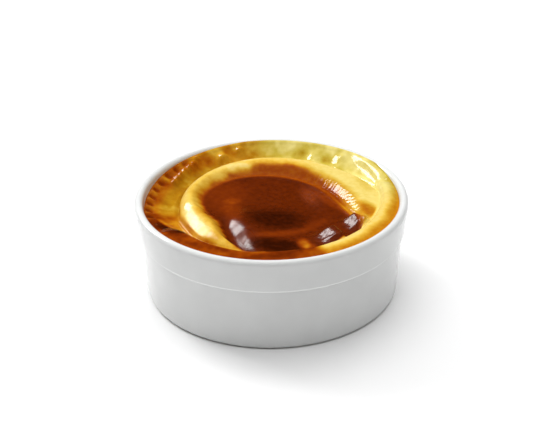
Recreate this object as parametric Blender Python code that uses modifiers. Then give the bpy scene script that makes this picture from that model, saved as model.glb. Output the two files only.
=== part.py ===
"""Oven-baked rice pudding in its round white dish.

The dish is one turned piece: a near-upright body, a deeper collar round the top
with a small step under it, a full-round lip and a shallow foot ring. The pudding
fills it nearly to the brim. Its baked skin has sunk and folded: a cushion with a
puffed rim stands in the middle, a brown pool lies off-centre in the cushion, a
trench runs behind and to the left, and an outer fold runs along the front and
right wall.

Modelled in metres, +Z up, origin at the centre of the base. The constants are in
millimetres. Heights of the skin are measured from the top of the lip, downwards
negative, and directions are degrees anticlockwise from +X (270 is the front).
"""

import bpy
import math
import numpy as np

MM = 0.001
STEPS = 80                   # sides of every turned piece
MERGE = 0.00001              # metres, weld distance at the axis

# Dish
DISH_HEIGHT = 44.0
RIM_RADIUS = 60.0            # widest point of the lip
LIP_RADIUS = 2.0             # full-round lip, so the wall is twice this
COLLAR_HEIGHT = 14.9
COLLAR_FOOT_RADIUS = 58.9
COLLAR_EDGE = 1.0            # rounding of the collar's lower edge
BODY_TOP_RADIUS = 57.7       # just under the step
STEP_FILLET = 0.2            # hollow corner where the step meets the body
BODY_FOOT_RADIUS = 56.1
BASE_ROUNDING = 2.4
FOOT_INNER_RADIUS = 49.5
FOOT_RECESS = 1.2
FLOOR_HEIGHT = 5.0           # inside floor above the table
INNER_FLOOR_RADIUS = 53.0    # inner wall, where the rounded corner starts
INNER_CORNER = 6.0
LIP_STEPS = 6
CORNER_STEPS = 3

# Pudding
GAP = 0.3                    # clearance between pudding and dish
POOL_ROWS = 6                # rings of faces in each zone of the skin
SLOPE_ROWS = 4
RIM_ROWS = 4
OUTER_ROWS = 10
NECK_ROWS = 2                # rings where the side follows the curve of the lip
NECK_DEPTH = 0.8             # least depth of those rings

# Closed fold lines seen from above: a centre, a mean radius and its lobes, each
# lobe being (how many, how far it swells, direction it swells towards).
CUSHION_EDGE = {"centre": (3.8, -0.5), "mean": 44.8,
                "lobes": ((2, 1.2, 132), (3, 0.7, 7), (4, 0.4, 0))}
POOL_EDGE = {"centre": (3.2, -8.6), "mean": 33.5,
             "lobes": ((2, 5.0, 119), (3, 0.9, 0), (4, 1.6, 62), (5, 0.6, 30))}
FOLD_FOOT = {"centre": (-0.1, 6.7), "mean": 48.2, "lobes": ((2, 1.4, 108),)}

# Heights that change round the dish: a mean and its lobes, as above.
WALL_LINE = {"mean": -2.4, "lobes": ((1, 2.6, 59), (2, 0.8, 86), (4, 0.4, 54))}
CUSHION_CREST = {"mean": -2.6, "lobes": ((1, 0.9, 135),)}
POOL_BORDER = {"mean": -5.6, "lobes": ((1, 0.8, 170),)}
TRENCH_FLOOR = {"mean": -6.0, "lobes": ((1, 1.6, 345),)}
FOLD_CREST = {"mean": -2.6, "lobes": ((1, 1.7, 20),)}

# Widths and shares that change with direction.
CUSHION_FLANK = {"mean": 4.9, "lobes": ((1, 2.3, 198),)}
FOLD_FLANK = {"mean": 3.4, "lobes": ((1, 0.4, 0),)}
SLOPE_TOP = {"mean": 0.305, "lobes": ((1, 0.20, 20),)}
SLOPE_FOOT = {"mean": 0.975, "lobes": ((1, 0.08, 205),)}
STRAIGHT_EDGE = ((-42.0, -4.0), (-27.8, -32.8))  # (x, y) line that cuts off the edge
FLAT_FLANK = (187, 224, 10)  # where the cushion's flank is straight, not round
FLAT_WIDTH, FLAT_LIFT = 9.5, 1.8  # width of that flank, and how far its foot is lifted

WALL_LINE_TOP = -0.25  # the skin never stands above this
TRENCH_OFFSET = 2.0  # trench line outside the cushion's edge
FOLD_START, FOLD_END, FOLD_FADE = 200, 384, 26  # directions the outer fold spans
TONGUE, TONGUE_ARC = 1.8, (206, 224, 20)  # its foot leans inwards here
SOFT_START, SOFT_START_ARC = 3.0, (185, 222, 24)  # its inner side is wider here
SKIN_BOTTOM = -10.0  # depth from which the outer fold rises
FOOT_DEPTH = 0.6  # the cushion's foot, below the trench
POOL_DIP, POOL_DIP_REACH = 0.9, 9.0  # how far the pool sinks below its border
POOL_SEAM, POOL_SEAM_WIDTH = 0.35, 0.9  # fine ridge along the pool's border
SEAM_ARC = (-20, 130, 30)  # directions where that ridge stands
CREASE = 0.5  # softness of the crease where two folds meet

# Each is a soft ridge along a line through a few (direction, radius) points. "left" and
# "right" are its widths on the two sides, looking along the line.
SMALL_FOLDS = {
    "terrace": {"through": ((43, 55.2), (32, 54.0), (19, 52.4)), "rise": 1.4, "left": 3.6,
                "right": 1.7},
    "back fold": {"through": ((67, 52.0), (64, 43.0)), "rise": 1.1, "left": 3.0, "right": 2.8},
    "side fold": {"through": ((53, 53.5), (48, 45.0)), "rise": 0.9, "left": 3.0, "right": 2.6},
    "pool mound": {"through": ((205, 10.0), (246, 22.5), (264, 41.0)), "rise": 1.5, "left": 10.0,
                   "right": 4.6},
    "pool groove": {"through": ((213, 23.5), (235, 29.5), (255, 41.5)), "rise": -2.4,
                    "left": 4.2, "right": 3.0},
    "strip edge": {"through": ((197, 47.5), (206, 44.4), (216, 43.0), (228, 44.2), (250, 44.8)),
                   "rise": 0.4, "left": 1.0, "right": 3.0},
}
# Ridges at the right of the pool that run in under the outer fold.
POOL_RIDGES = {
    "front ridge": {"through": ((317.5, 33.0), (311.5, 45.0)), "rise": 4.6, "left": 2.8,
                    "right": 6.4},
    "side ridge": {"through": ((342, 36.5), (331, 44.5)), "rise": 3.6, "left": 2.6, "right": 4.6},
}
TAPER = 0.25
LINE_POINTS = 80


def swell(rule, degrees):
    """A length that changes round the dish, at each of the given directions."""
    value = np.full_like(degrees, rule["mean"])
    for count, amount, towards in rule["lobes"]:
        value = value + amount * np.cos(np.radians(count * (degrees - towards)))
    return value


def direction(x, y):
    return np.degrees(np.arctan2(y, x)) % 360.0


def ramp(value, start, end):
    """0 before start, 1 after end, and a soft S between them."""
    share = np.clip((value - start) / (end - start), 0.0, 1.0)
    return share * share * (3.0 - 2.0 * share)


def between(degrees, start, end, soft):
    """1 between two directions (going anticlockwise), fading out over soft degrees."""
    half = ((end - start) % 360.0) / 2.0
    middle = start + half
    away = np.abs((degrees - middle + 180.0) % 360.0 - 180.0)
    return 1.0 - ramp(away, half - soft / 2.0, half + soft / 2.0)


def inside(line, x, y):
    """How far inside a closed fold line each point lies; negative outside it."""
    dx, dy = x - line["centre"][0], y - line["centre"][1]
    return swell(line, direction(dx, dy)) - np.hypot(dx, dy)


def radius_on(line, degrees):
    """Distance from the dish's axis to a fold line, in each direction."""
    radius = np.full_like(degrees, line["mean"])
    for _ in range(12):
        x = radius * np.cos(np.radians(degrees))
        y = radius * np.sin(np.radians(degrees))
        radius = radius + inside(line, x, y)
    return radius


def round_over(share):
    """Rises as a quarter circle from 0 to 1."""
    share = np.clip(share, 0.0, 1.0)
    return np.sqrt(1.0 - (1.0 - share) ** 2)


def higher_of(a, b, softness):
    """The higher of two surfaces, with the crease between them softened."""
    blend = np.maximum(softness - np.abs(a - b), 0.0) / softness
    return np.maximum(a, b) + blend * blend * softness / 4.0


def inner_wall_radius(height):
    """Radius of the dish's inside at a height above the table, lip included."""
    corner_top = FLOOR_HEIGHT + INNER_CORNER
    lip_foot = DISH_HEIGHT - LIP_RADIUS
    top_radius = RIM_RADIUS - 2.0 * LIP_RADIUS
    share = np.clip((height - corner_top) / (lip_foot - corner_top), 0.0, 1.0)
    up_lip = np.clip(height - lip_foot, 0.0, LIP_RADIUS)
    rounding = LIP_RADIUS - np.sqrt(LIP_RADIUS ** 2 - up_lip ** 2)
    return INNER_FLOOR_RADIUS + (top_radius - INNER_FLOOR_RADIUS) * share + rounding


def wall_line(degrees):
    return np.minimum(swell(WALL_LINE, degrees), WALL_LINE_TOP)


def wall_radius(degrees):
    """Where the skin ends: a small gap away from the dish's wall."""
    return inner_wall_radius(DISH_HEIGHT + wall_line(degrees)) - GAP


def hanging_band(x, y):
    """The skin that hangs from the wall down into the trench."""
    around = direction(x, y)
    radius = np.hypot(x, y)
    trench_radius = radius_on(CUSHION_EDGE, around) + TRENCH_OFFSET
    wall = wall_radius(around)
    share = np.maximum((wall - radius) / (wall - trench_radius), 0.0)
    top = wall_line(around)
    fall = 0.4 * np.sin(np.minimum(share, 1.0) * math.pi / 2.0) + 0.6 * ramp(share, 0.0, 1.0)
    height = top + (swell(TRENCH_FLOOR, around) - top) * fall
    return height - np.maximum(share - 1.0, 0.0) * TRENCH_OFFSET * 4.0


def cushion_inside(x, y):
    """How far inside the cushion's edge, which runs straight at the front left."""
    (x0, y0), (x1, y1) = STRAIGHT_EDGE
    length = math.hypot(x1 - x0, y1 - y0)
    from_straight = ((x1 - x0) * (y - y0) - (y1 - y0) * (x - x0)) / length
    return -higher_of(-inside(CUSHION_EDGE, x, y), -from_straight, 1.5)


def cushion(x, y):
    """The raised middle: a puffed ring that slopes down into the pool."""
    around = direction(x, y)
    from_edge = cushion_inside(x, y)
    from_pool = -inside(POOL_EDGE, x, y)
    flank = swell(CUSHION_FLANK, around)
    flat = between(around, *FLAT_FLANK)
    foot = swell(TRENCH_FLOOR, around) - FOOT_DEPTH + FLAT_LIFT * flat
    share = np.clip(from_edge / flank, 0.0, 1.0)
    share_flat = np.clip(from_edge / FLAT_WIDTH, 0.0, 1.0)
    rise = round_over(share) * (1.0 - flat) + (1.0 - (1.0 - share_flat) ** 2) * flat
    across = np.maximum(from_edge - (0.5 + 0.3 * flat) * flank, 0.0)
    width = np.maximum(across + np.maximum(from_pool, 0.0), 1.0)
    inward = np.where(from_pool < 0.0, 1.0, across / width)
    down = ramp(inward, swell(SLOPE_TOP, around), swell(SLOPE_FOOT, around))
    middle = ramp(np.hypot(x, y), 0.0, 25.0)
    border = POOL_BORDER["mean"] + (swell(POOL_BORDER, around) - POOL_BORDER["mean"]) * middle
    top = swell(CUSHION_CREST, around) * (1.0 - down) + border * down
    top = top - POOL_DIP * (1.0 - np.exp(np.minimum(from_pool, 0.0) / POOL_DIP_REACH))
    seam = POOL_SEAM * between(around, *SEAM_ARC)
    top = top + seam * np.exp(-(from_pool / POOL_SEAM_WIDTH) ** 2)
    height = foot + (top - foot) * rise
    return np.where(from_edge > 0.0, height, foot + from_edge * 2.0)


def outer_fold(x, y):
    """The fold that lies along the front and right wall."""
    around = direction(x, y)
    tongue = TONGUE * between(around, *TONGUE_ARC)
    from_foot = tongue - inside(FOLD_FOOT, x, y)
    foot_radius = radius_on(FOLD_FOOT, around) - tongue
    reach = wall_radius(around) - foot_radius
    lean = ramp((np.hypot(x, y) - foot_radius) / np.maximum(reach, 1.0), 0.45, 1.0)
    crest = swell(FOLD_CREST, around)
    top = crest + (np.minimum(wall_line(around), crest) - crest) * lean
    flank = swell(FOLD_FLANK, around) + SOFT_START * between(around, *SOFT_START_ARC)
    height = SKIN_BOTTOM + (top - SKIN_BOTTOM) * round_over(from_foot / flank)
    present = between(around, FOLD_START, FOLD_END, FOLD_FADE)
    return SKIN_BOTTOM + (height - SKIN_BOTTOM) * present


def from_line(x, y, through):
    """Distance to the left of a line that bends round the dish, and the share passed."""
    shares = np.linspace(0.0, len(through) - 1.0, LINE_POINTS)
    turns, radii = zip(*through)
    angle = np.radians(np.interp(shares, range(len(through)), turns))
    radius = np.interp(shares, range(len(through)), radii)
    line = np.stack([radius * np.cos(angle), radius * np.sin(angle)], 1)
    tangent = np.gradient(line, axis=0)
    step = np.linalg.norm(tangent, axis=1)
    dx, dy = x[:, None] - line[:, 0], y[:, None] - line[:, 1]
    nearest = np.argmin(dx * dx + dy * dy, axis=1)
    dx, dy = x - line[nearest, 0], y - line[nearest, 1]
    tx, ty = (tangent[nearest] / step[nearest, None]).T
    passed = (nearest + (dx * tx + dy * ty) / step[nearest]) / (LINE_POINTS - 1)
    return tx * dy - ty * dx, passed


def small_fold(x, y, through, rise, left, right):
    across, passed = from_line(x, y, through)
    width = np.where(across > 0.0, left, right)
    taper = ramp(passed, -TAPER, TAPER) * ramp(1.0 - passed, -TAPER, TAPER)
    return rise * taper * np.exp(-(across / width) ** 2)


def small_folds(x, y, folds):
    return sum(small_fold(x, y, **fold) for fold in folds.values())


def skin_height(x, y):
    """Height of the baked skin, in millimetres from the top of the lip."""
    height = higher_of(hanging_band(x, y), cushion(x, y), CREASE)
    height = height + small_folds(x, y, POOL_RIDGES)
    height = higher_of(height, outer_fold(x, y), CREASE)
    height = height + small_folds(x, y, SMALL_FOLDS)
    around = direction(x, y)
    edge = ramp(wall_radius(around) - np.hypot(x, y), 0.0, 2.5)
    wall = wall_line(around)
    return np.minimum(wall + (height - wall) * edge, WALL_LINE_TOP)


def arc(centre_x, centre_z, radius, start, end, steps):
    """Points on a circular arc, from one angle in degrees to another."""
    angles = (math.radians(start + (end - start) * i / steps) for i in range(steps + 1))
    return [(centre_x + radius * math.cos(a), centre_z + radius * math.sin(a)) for a in angles]


def turned(name, profile):
    """Spins a profile of (radius, height) in millimetres into a mesh object."""
    mesh = bpy.data.meshes.new(name)
    mesh.from_pydata([(r * MM, 0.0, z * MM) for r, z in profile],
                     [(i, i + 1) for i in range(len(profile) - 1)], [])
    guide = bpy.data.objects.new(name, mesh)
    bpy.context.scene.collection.objects.link(guide)
    screw = guide.modifiers.new("turn", "SCREW")
    screw.axis = "Z"
    screw.steps = screw.render_steps = STEPS
    screw.use_merge_vertices = True
    screw.merge_threshold = MERGE
    screw.use_normal_calculate = False
    bpy.context.view_layer.update()
    evaluated = guide.evaluated_get(bpy.context.evaluated_depsgraph_get())
    solid = bpy.data.meshes.new_from_object(evaluated)
    bpy.data.objects.remove(guide)
    bpy.data.meshes.remove(mesh)
    solid.name = name
    return solid


def dish_profile():
    """From the middle of the inside floor, over the lip, to the middle of the base."""
    lip_centre = RIM_RADIUS - LIP_RADIUS
    lip_height = DISH_HEIGHT - LIP_RADIUS
    step_height = DISH_HEIGHT - COLLAR_HEIGHT
    corner_centre = INNER_FLOOR_RADIUS - INNER_CORNER
    base_centre = BODY_FOOT_RADIUS - BASE_ROUNDING
    points = [(0.0, FLOOR_HEIGHT)]
    points += arc(corner_centre, FLOOR_HEIGHT + INNER_CORNER, INNER_CORNER, -90, 0, CORNER_STEPS)
    points += arc(lip_centre, lip_height, LIP_RADIUS, 180, 0, LIP_STEPS)
    points += arc(COLLAR_FOOT_RADIUS - COLLAR_EDGE, step_height + COLLAR_EDGE, COLLAR_EDGE,
                  0, -90, CORNER_STEPS)
    points += [(BODY_TOP_RADIUS + STEP_FILLET, step_height),
               (BODY_TOP_RADIUS, step_height - STEP_FILLET)]
    points += arc(base_centre, BASE_ROUNDING, BASE_ROUNDING, 0, -90, CORNER_STEPS)
    points += [(FOOT_INNER_RADIUS, 0.0), (FOOT_INNER_RADIUS, FOOT_RECESS), (0.0, FOOT_RECESS)]
    return points


def blank_profile(rows, level):
    """A flat-topped blank of the pudding, with one ring for each row of the skin."""
    wall = inner_wall_radius(level) - GAP
    corner = INNER_CORNER - GAP
    floor = FLOOR_HEIGHT + GAP
    points = [(wall * i / rows, level) for i in range(rows + 1)]
    points += [(wall, level - i) for i in range(1, NECK_ROWS + 1)]
    corner_centre = INNER_FLOOR_RADIUS - GAP - corner
    points += arc(corner_centre, floor + corner, corner, 0, -90, CORNER_STEPS)
    points += [(0.0, floor)]
    return points


def row_radii(degrees):
    """Where each ring of the skin lies, so that rings follow the fold lines."""
    edge = radius_on(CUSHION_EDGE, degrees)
    crest = edge - swell(CUSHION_FLANK, degrees)
    pool = np.minimum(radius_on(POOL_EDGE, degrees), crest - 1.0)
    stops = [np.zeros_like(degrees), pool, crest, edge, wall_radius(degrees)]
    rows = [stops[0]]
    for count, low, high in zip((POOL_ROWS, SLOPE_ROWS, RIM_ROWS, OUTER_ROWS), stops, stops[1:]):
        rows += [low + (high - low) * i / count for i in range(1, count + 1)]
    return np.array(rows)


def press_skin(mesh, rows, level):
    """Moves the blank's top and upper side to the folded skin and the dish's wall."""
    points = np.empty(len(mesh.vertices) * 3)
    mesh.vertices.foreach_get("co", points)
    points = points.reshape(-1, 3) / MM
    degrees = direction(points[:, 0], points[:, 1])
    ring = np.rint(np.hypot(points[:, 0], points[:, 1]) / np.max(points[:, 0]) * rows)
    below = np.rint(level - points[:, 2])
    top = below == 0
    radius = row_radii(degrees[top])[ring[top].astype(int), np.arange(np.sum(top))]
    angle = np.radians(degrees)
    x, y = radius * np.cos(angle[top]), radius * np.sin(angle[top])
    points[top] = np.stack([x, y, DISH_HEIGHT + skin_height(x, y)], 1)
    for row in range(1, NECK_ROWS + 1):
        neck = below == row
        start = wall_line(degrees[neck])
        end = np.minimum(start - NECK_DEPTH, -LIP_RADIUS)
        height = DISH_HEIGHT + start + (end - start) * row / NECK_ROWS
        radius = inner_wall_radius(height) - GAP
        points[neck] = np.stack([radius * np.cos(angle[neck]), radius * np.sin(angle[neck]),
                                 height], 1)
    mesh.vertices.foreach_set("co", (points * MM).ravel())
    mesh.update()


def material(name, colour, roughness):
    surface = bpy.data.materials.new(name)
    surface.use_nodes = True
    shader = surface.node_tree.nodes["Principled BSDF"]
    shader.inputs["Base Color"].default_value = (*colour, 1.0)
    shader.inputs["Roughness"].default_value = roughness
    shader.inputs["Metallic"].default_value = 0.0
    return surface


def place(name, mesh, surface, collection, sharp_angle):
    piece = bpy.data.objects.new(name, mesh)
    collection.objects.link(piece)
    mesh.materials.clear()
    mesh.materials.append(surface)
    mesh.shade_smooth()
    mesh.set_sharp_from_angle(angle=math.radians(sharp_angle))
    return piece


def main():
    for old in list(bpy.data.objects):
        bpy.data.objects.remove(old)
    collection = bpy.data.collections.new("rice_pudding")
    bpy.context.scene.collection.children.link(collection)

    dish = turned("ramekin", dish_profile())
    place("ramekin", dish, material("white_glaze", (0.86, 0.86, 0.85), 0.15), collection, 50)

    rows = POOL_ROWS + SLOPE_ROWS + RIM_ROWS + OUTER_ROWS
    level = DISH_HEIGHT - LIP_RADIUS
    pudding = turned("pudding", blank_profile(rows, level))
    press_skin(pudding, rows, level)
    place("pudding", pudding, material("baked_milk", (0.55, 0.27, 0.05), 0.3), collection, 60)


main()
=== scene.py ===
# %% [markdown]
# # Oven-baked rice pudding in a white dish
# This file builds the looks of a small baked milk dessert: a glazed white dish, and
# inside it a pudding whose skin has browned, sunk and folded. It is laid out as a
# lesson: each step says what the thing is on the real object, which ways there are
# to make it, and why one was picked.

# %% [markdown]
# ## The measured frame
# The dish and the pudding already exist as plain solids with their real sizes. Those
# sizes could be typed in again here, or read from the solids. They are read, so that
# this file follows if the dish is ever made wider or taller. Lengths below are in
# millimetres, because that is how one thinks about a dish; MM turns them into metres.

import math

import bpy
import numpy as np
from mathutils import Matrix, Vector


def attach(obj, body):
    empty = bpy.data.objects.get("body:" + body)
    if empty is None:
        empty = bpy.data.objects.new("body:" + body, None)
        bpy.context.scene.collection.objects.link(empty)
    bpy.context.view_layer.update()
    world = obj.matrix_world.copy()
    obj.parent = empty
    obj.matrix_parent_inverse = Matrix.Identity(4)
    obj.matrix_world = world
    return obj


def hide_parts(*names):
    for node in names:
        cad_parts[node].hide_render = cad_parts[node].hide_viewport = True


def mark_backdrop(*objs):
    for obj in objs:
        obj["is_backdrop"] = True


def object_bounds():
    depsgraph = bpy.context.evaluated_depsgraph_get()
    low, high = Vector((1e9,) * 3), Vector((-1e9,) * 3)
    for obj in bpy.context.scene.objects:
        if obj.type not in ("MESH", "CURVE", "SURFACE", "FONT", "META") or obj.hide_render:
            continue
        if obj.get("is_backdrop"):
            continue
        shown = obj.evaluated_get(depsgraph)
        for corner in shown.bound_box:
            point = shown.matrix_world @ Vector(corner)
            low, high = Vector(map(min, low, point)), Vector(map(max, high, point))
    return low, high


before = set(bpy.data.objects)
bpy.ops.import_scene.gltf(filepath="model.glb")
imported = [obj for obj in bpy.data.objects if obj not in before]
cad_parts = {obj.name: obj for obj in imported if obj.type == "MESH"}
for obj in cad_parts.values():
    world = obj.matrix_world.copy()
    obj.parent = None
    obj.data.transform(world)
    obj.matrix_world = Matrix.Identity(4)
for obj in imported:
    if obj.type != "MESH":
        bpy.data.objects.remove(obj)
frame_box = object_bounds()
low, high = frame_box
MM = 0.001
rim_radius = (high[0] - low[0]) / 2.0 / MM
dish_height = high[2] / MM
print(f"dish: {2 * rim_radius:.1f} mm across, {dish_height:.1f} mm high")

# %% [markdown]
# ## Camera
# The viewer sits in front of the dish and looks down at about 29 degrees, close
# enough that the near lip looks wider than the far one. A camera can be aimed with a
# Track To constraint or by working out its rotation. The rotation is worked out here,
# because a constraint would fight anyone who wants to move the camera afterwards.

# %% Camera
CAMERA_PLACE = Vector((0.0, -0.5049, 0.3026))
CAMERA_TARGET = Vector((0.0016, 0.0, 0.0312))
CAMERA_ROLL = math.radians(-0.64)
CAMERA_LENS, SENSOR_WIDTH = 84.9, 36.0  # millimetres


def add_camera(place, target, roll, lens):
    data = bpy.data.cameras.new("camera")
    data.lens, data.sensor_width = lens, SENSOR_WIDTH
    camera = bpy.data.objects.new("camera", data)
    bpy.context.scene.collection.objects.link(camera)
    aim = (target - place).to_track_quat("-Z", "Y").to_matrix()
    turn = Matrix.Rotation(roll, 3, "Z")
    camera.matrix_world = Matrix.Translation(place) @ (aim @ turn).to_4x4()
    bpy.context.scene.camera = camera
    return camera


add_camera(CAMERA_PLACE, CAMERA_TARGET, CAMERA_ROLL, CAMERA_LENS)
bpy.context.scene.view_settings.view_transform = "Standard"
print(f"camera {(CAMERA_TARGET - CAMERA_PLACE).length:.3f} m from its target")

# %% [markdown]
# ## Floor
# Food for a menu usually stands on a sheet of white paper that runs on out of sight.
# A curved backdrop, a disc or one large plane would do. A plane is enough, because
# the camera looks down and never sees its end. It is a little darker than pure white,
# so that the shadow under the dish still shows.

# %% Floor
FLOOR_SIZE = 6.0
FLOOR_TONE, FLOOR_ROUGHNESS, FLOOR_GLOSS = (0.95, 0.95, 0.95, 1.0), 0.9, 0.1


def add_floor(size):
    mesh = bpy.data.meshes.new("floor")
    half = size / 2.0
    corners = [(-half, -half, 0), (half, -half, 0), (half, half, 0), (-half, half, 0)]
    mesh.from_pydata(corners, [], [(0, 1, 2, 3)])
    surface = bpy.data.materials.new("pale_floor")
    surface.use_nodes = True
    shader = surface.node_tree.nodes["Principled BSDF"]
    shader.inputs["Base Color"].default_value = FLOOR_TONE
    shader.inputs["Roughness"].default_value = FLOOR_ROUGHNESS
    shader.inputs["Specular IOR Level"].default_value = FLOOR_GLOSS
    mesh.materials.append(surface)
    floor = bpy.data.objects.new("floor", mesh)
    bpy.context.scene.collection.objects.link(floor)
    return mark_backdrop(floor)


add_floor(FLOOR_SIZE)
print(f"floor {FLOOR_SIZE} m square")

# %% [markdown]
# ## Lights
# One window-like light stands behind and to the left: it draws the bright shapes that
# glide over wet skin, so its size and place are as much part of the look as the
# browning is. Two large soft sources, one overhead and one behind, fill the shadows.
# They could be an environment picture or area lights; area lights were picked,
# because each can be left out of mirror reflections. That keeps the brown skin deep
# in colour, as it is under a dark ceiling. Power follows from size times radiance, so
# a light can be resized without changing how bright its reflection looks.

# %% Lights
AIM = Vector((0.0, 0.0, 0.035))


def add_softbox(name, azimuth, elevation, distance, size, radiance, mirrored=True):
    """A rectangular light that faces the dish; radiance is its brightness seen face on."""
    data = bpy.data.lights.new(name, "AREA")
    data.shape = "RECTANGLE"
    data.size, data.size_y = size
    data.energy = radiance * size[0] * size[1] * math.pi
    a, e = math.radians(azimuth), math.radians(elevation)
    away = Vector((math.cos(e) * math.cos(a), math.cos(e) * math.sin(a), math.sin(e)))
    light = bpy.data.objects.new(name, data)
    bpy.context.scene.collection.objects.link(light)
    light.location = AIM + distance * away
    light.rotation_euler = away.to_track_quat("Z", "Y").to_euler()
    light.visible_glossy = mirrored
    return light


def add_world(colour, strength):
    world = bpy.data.worlds.new("studio")
    world.use_nodes = True
    background = world.node_tree.nodes["Background"]
    background.inputs["Color"].default_value = (*colour, 1.0)
    background.inputs["Strength"].default_value = strength
    bpy.context.scene.world = world


add_softbox("window", azimuth=140, elevation=36, distance=1.0, size=(0.42, 0.34),
            radiance=11.5)
add_softbox("sky_behind", azimuth=90, elevation=50, distance=1.6, size=(1.8, 1.8),
            radiance=1.17, mirrored=False)
add_softbox("ceiling", azimuth=0, elevation=89.9, distance=1.6, size=(2.4, 2.4),
            radiance=2.0, mirrored=False)
add_world(colour=(1.0, 1.0, 1.0), strength=0.006)
print(f"{len(bpy.data.lights)} lights")

# %% [markdown]
# ## Helpers for soft shapes
# Numbers that change round the dish are written as a mean and a few lobes, the way
# one would describe an egg: "44 mm, swelling 4 mm towards the front right". The other
# helpers are soft steps: most of what a cook would call a fold, an edge or a side is
# one of them, from one length to another.

# %% Helpers for soft shapes
def swell(rule, degrees):
    """A length that changes round the dish, at each of the given directions."""
    value = np.full_like(degrees, rule["mean"])
    for count, amount, towards in rule["lobes"]:
        value = value + amount * np.cos(np.radians(count * (degrees - towards)))
    return value


def direction(x, y):
    """Direction of each point from the axis, in degrees anticlockwise from the right."""
    return np.degrees(np.arctan2(y, x)) % 360.0


def ramp(value, start, end):
    """0 before start, 1 after end, and a soft S between them."""
    share = np.clip((value - start) / (end - start), 0.0, 1.0)
    return share * share * (3.0 - 2.0 * share)


def between(degrees, start, end, soft):
    """1 between two directions (going anticlockwise), fading out over soft degrees."""
    half = ((end - start) % 360.0) / 2.0
    middle = start + half
    away = np.abs((degrees - middle + 180.0) % 360.0 - 180.0)
    return 1.0 - ramp(away, half - soft / 2.0, half + soft / 2.0)


def round_over(share):
    """Rises as a quarter circle from 0 to 1."""
    share = np.clip(share, 0.0, 1.0)
    return np.sqrt(1.0 - (1.0 - share) ** 2)


def higher_of(a, b, softness):
    """The higher of two surfaces, with the crease between them softened."""
    blend = np.maximum(softness - np.abs(a - b), 0.0) / softness
    return np.maximum(a, b) + blend * blend * softness / 4.0


print(f"halfway up a soft step: {ramp(0.5, 0.0, 1.0)}; a quarter up: {ramp(0.25, 0.0, 1.0)}")

# %% [markdown]
# ## Helpers for fold lines and unevenness
# A fold line is closed and nearly round, with a centre of its own. Soft unevenness
# could come from Blender's own noise, but a height function has to give the same
# answer whatever mesh asks. So it comes from a lattice of random values, smoothed in
# between, which is the same on every run because its seed is fixed.

# %% Helpers for fold lines and unevenness
SETTLE_STEPS = 12  # rounds until a radius on a fold line has settled
LATTICE = 64  # random values along each side
LATTICE_SHIFT = 512.5  # keeps every place on the lattice positive


def inside(line, x, y):
    """How far inside a closed fold line each point lies; negative outside it."""
    dx, dy = x - line["centre"][0], y - line["centre"][1]
    return swell(line, direction(dx, dy)) - np.hypot(dx, dy)


def radius_on(line, degrees):
    """Distance from the dish's axis to a fold line, in each direction."""
    radius = np.full_like(degrees, line["mean"])
    for _ in range(SETTLE_STEPS):
        x = radius * np.cos(np.radians(degrees))
        y = radius * np.sin(np.radians(degrees))
        radius = radius + inside(line, x, y)
    return radius


def uneven(x, y, size, seed):
    """Smooth random values from -1 to 1 that change over about size millimetres."""
    lattice = np.random.default_rng(seed).uniform(-1.0, 1.0, (LATTICE, LATTICE))
    u, v = x / size + LATTICE_SHIFT, y / size + LATTICE_SHIFT
    i, j = np.floor(u).astype(int), np.floor(v).astype(int)
    s, t = ramp(u - i, 0.0, 1.0), ramp(v - j, 0.0, 1.0)
    i, j, next_i, next_j = i % LATTICE, j % LATTICE, (i + 1) % LATTICE, (j + 1) % LATTICE
    here = lattice[i, j] * (1 - s) + lattice[next_i, j] * s
    there = lattice[i, next_j] * (1 - s) + lattice[next_i, next_j] * s
    return here * (1 - t) + there * t


def wander(x, y, layers):
    """The sum of a few layers of unevenness, each (amount, size, seed)."""
    return sum(amount * uneven(x, y, size, seed) for amount, size, seed in layers)


print(f"uneven values come from a lattice of {LATTICE} by {LATTICE}")

# %% [markdown]
# ## Dish: its sizes
# A deep collar with a small step under it runs round the top of the dish, and the lip
# is a full half-round, twice its radius thick. The body below narrows slightly
# towards a rounded base with a shallow foot ring, which keeps most of the glaze off
# the table. Each of these is one named size. The inside wall is also a small
# function, because the skin of the pudding has to end exactly on it.

# %% Dish sizes
LIP_RADIUS = 2.0
COLLAR_HEIGHT = 14.9
COLLAR_FOOT_RADIUS = 58.9
COLLAR_EDGE = 1.0  # rounding of the collar's lower edge
BODY_TOP_RADIUS = 57.7  # just under the step
STEP_FILLET = 0.2  # hollow corner between step and body
BODY_FOOT_RADIUS = 56.1
BASE_ROUNDING = 2.4
FOOT_INNER_RADIUS = 49.5
FOOT_RECESS = 1.2
FOOT_EDGE = 0.4  # rounding of the foot ring
FLOOR_HEIGHT = 5.0  # inside floor above the table
INNER_FLOOR_RADIUS = 53.0
INNER_CORNER = 6.0


def inner_wall_radius(height):
    """Radius of the dish's inside at a height above the table, lip included."""
    corner_top = FLOOR_HEIGHT + INNER_CORNER
    lip_foot = dish_height - LIP_RADIUS
    top_radius = rim_radius - 2.0 * LIP_RADIUS
    share = np.clip((height - corner_top) / (lip_foot - corner_top), 0.0, 1.0)
    up_lip = np.clip(height - lip_foot, 0.0, LIP_RADIUS)
    rounding = LIP_RADIUS - np.sqrt(LIP_RADIUS ** 2 - up_lip ** 2)
    below = np.clip(corner_top - height, 0.0, INNER_CORNER)
    corner = INNER_CORNER - np.sqrt(INNER_CORNER ** 2 - below ** 2)
    return INNER_FLOOR_RADIUS + (top_radius - INNER_FLOOR_RADIUS) * share + rounding - corner


print(f"wall: {2 * LIP_RADIUS:.1f} mm thick at the lip; collar: {COLLAR_HEIGHT} mm deep")

# %% [markdown]
# ## Dish: its outline
# Every section through the dish is the same closed outline. It could be traced by
# hand as a curve or written as arcs and straight runs. Arcs were picked: each
# rounding then keeps its own radius, and the straight runs are cut into a few pieces
# so that no face gets very long and thin.

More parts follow.
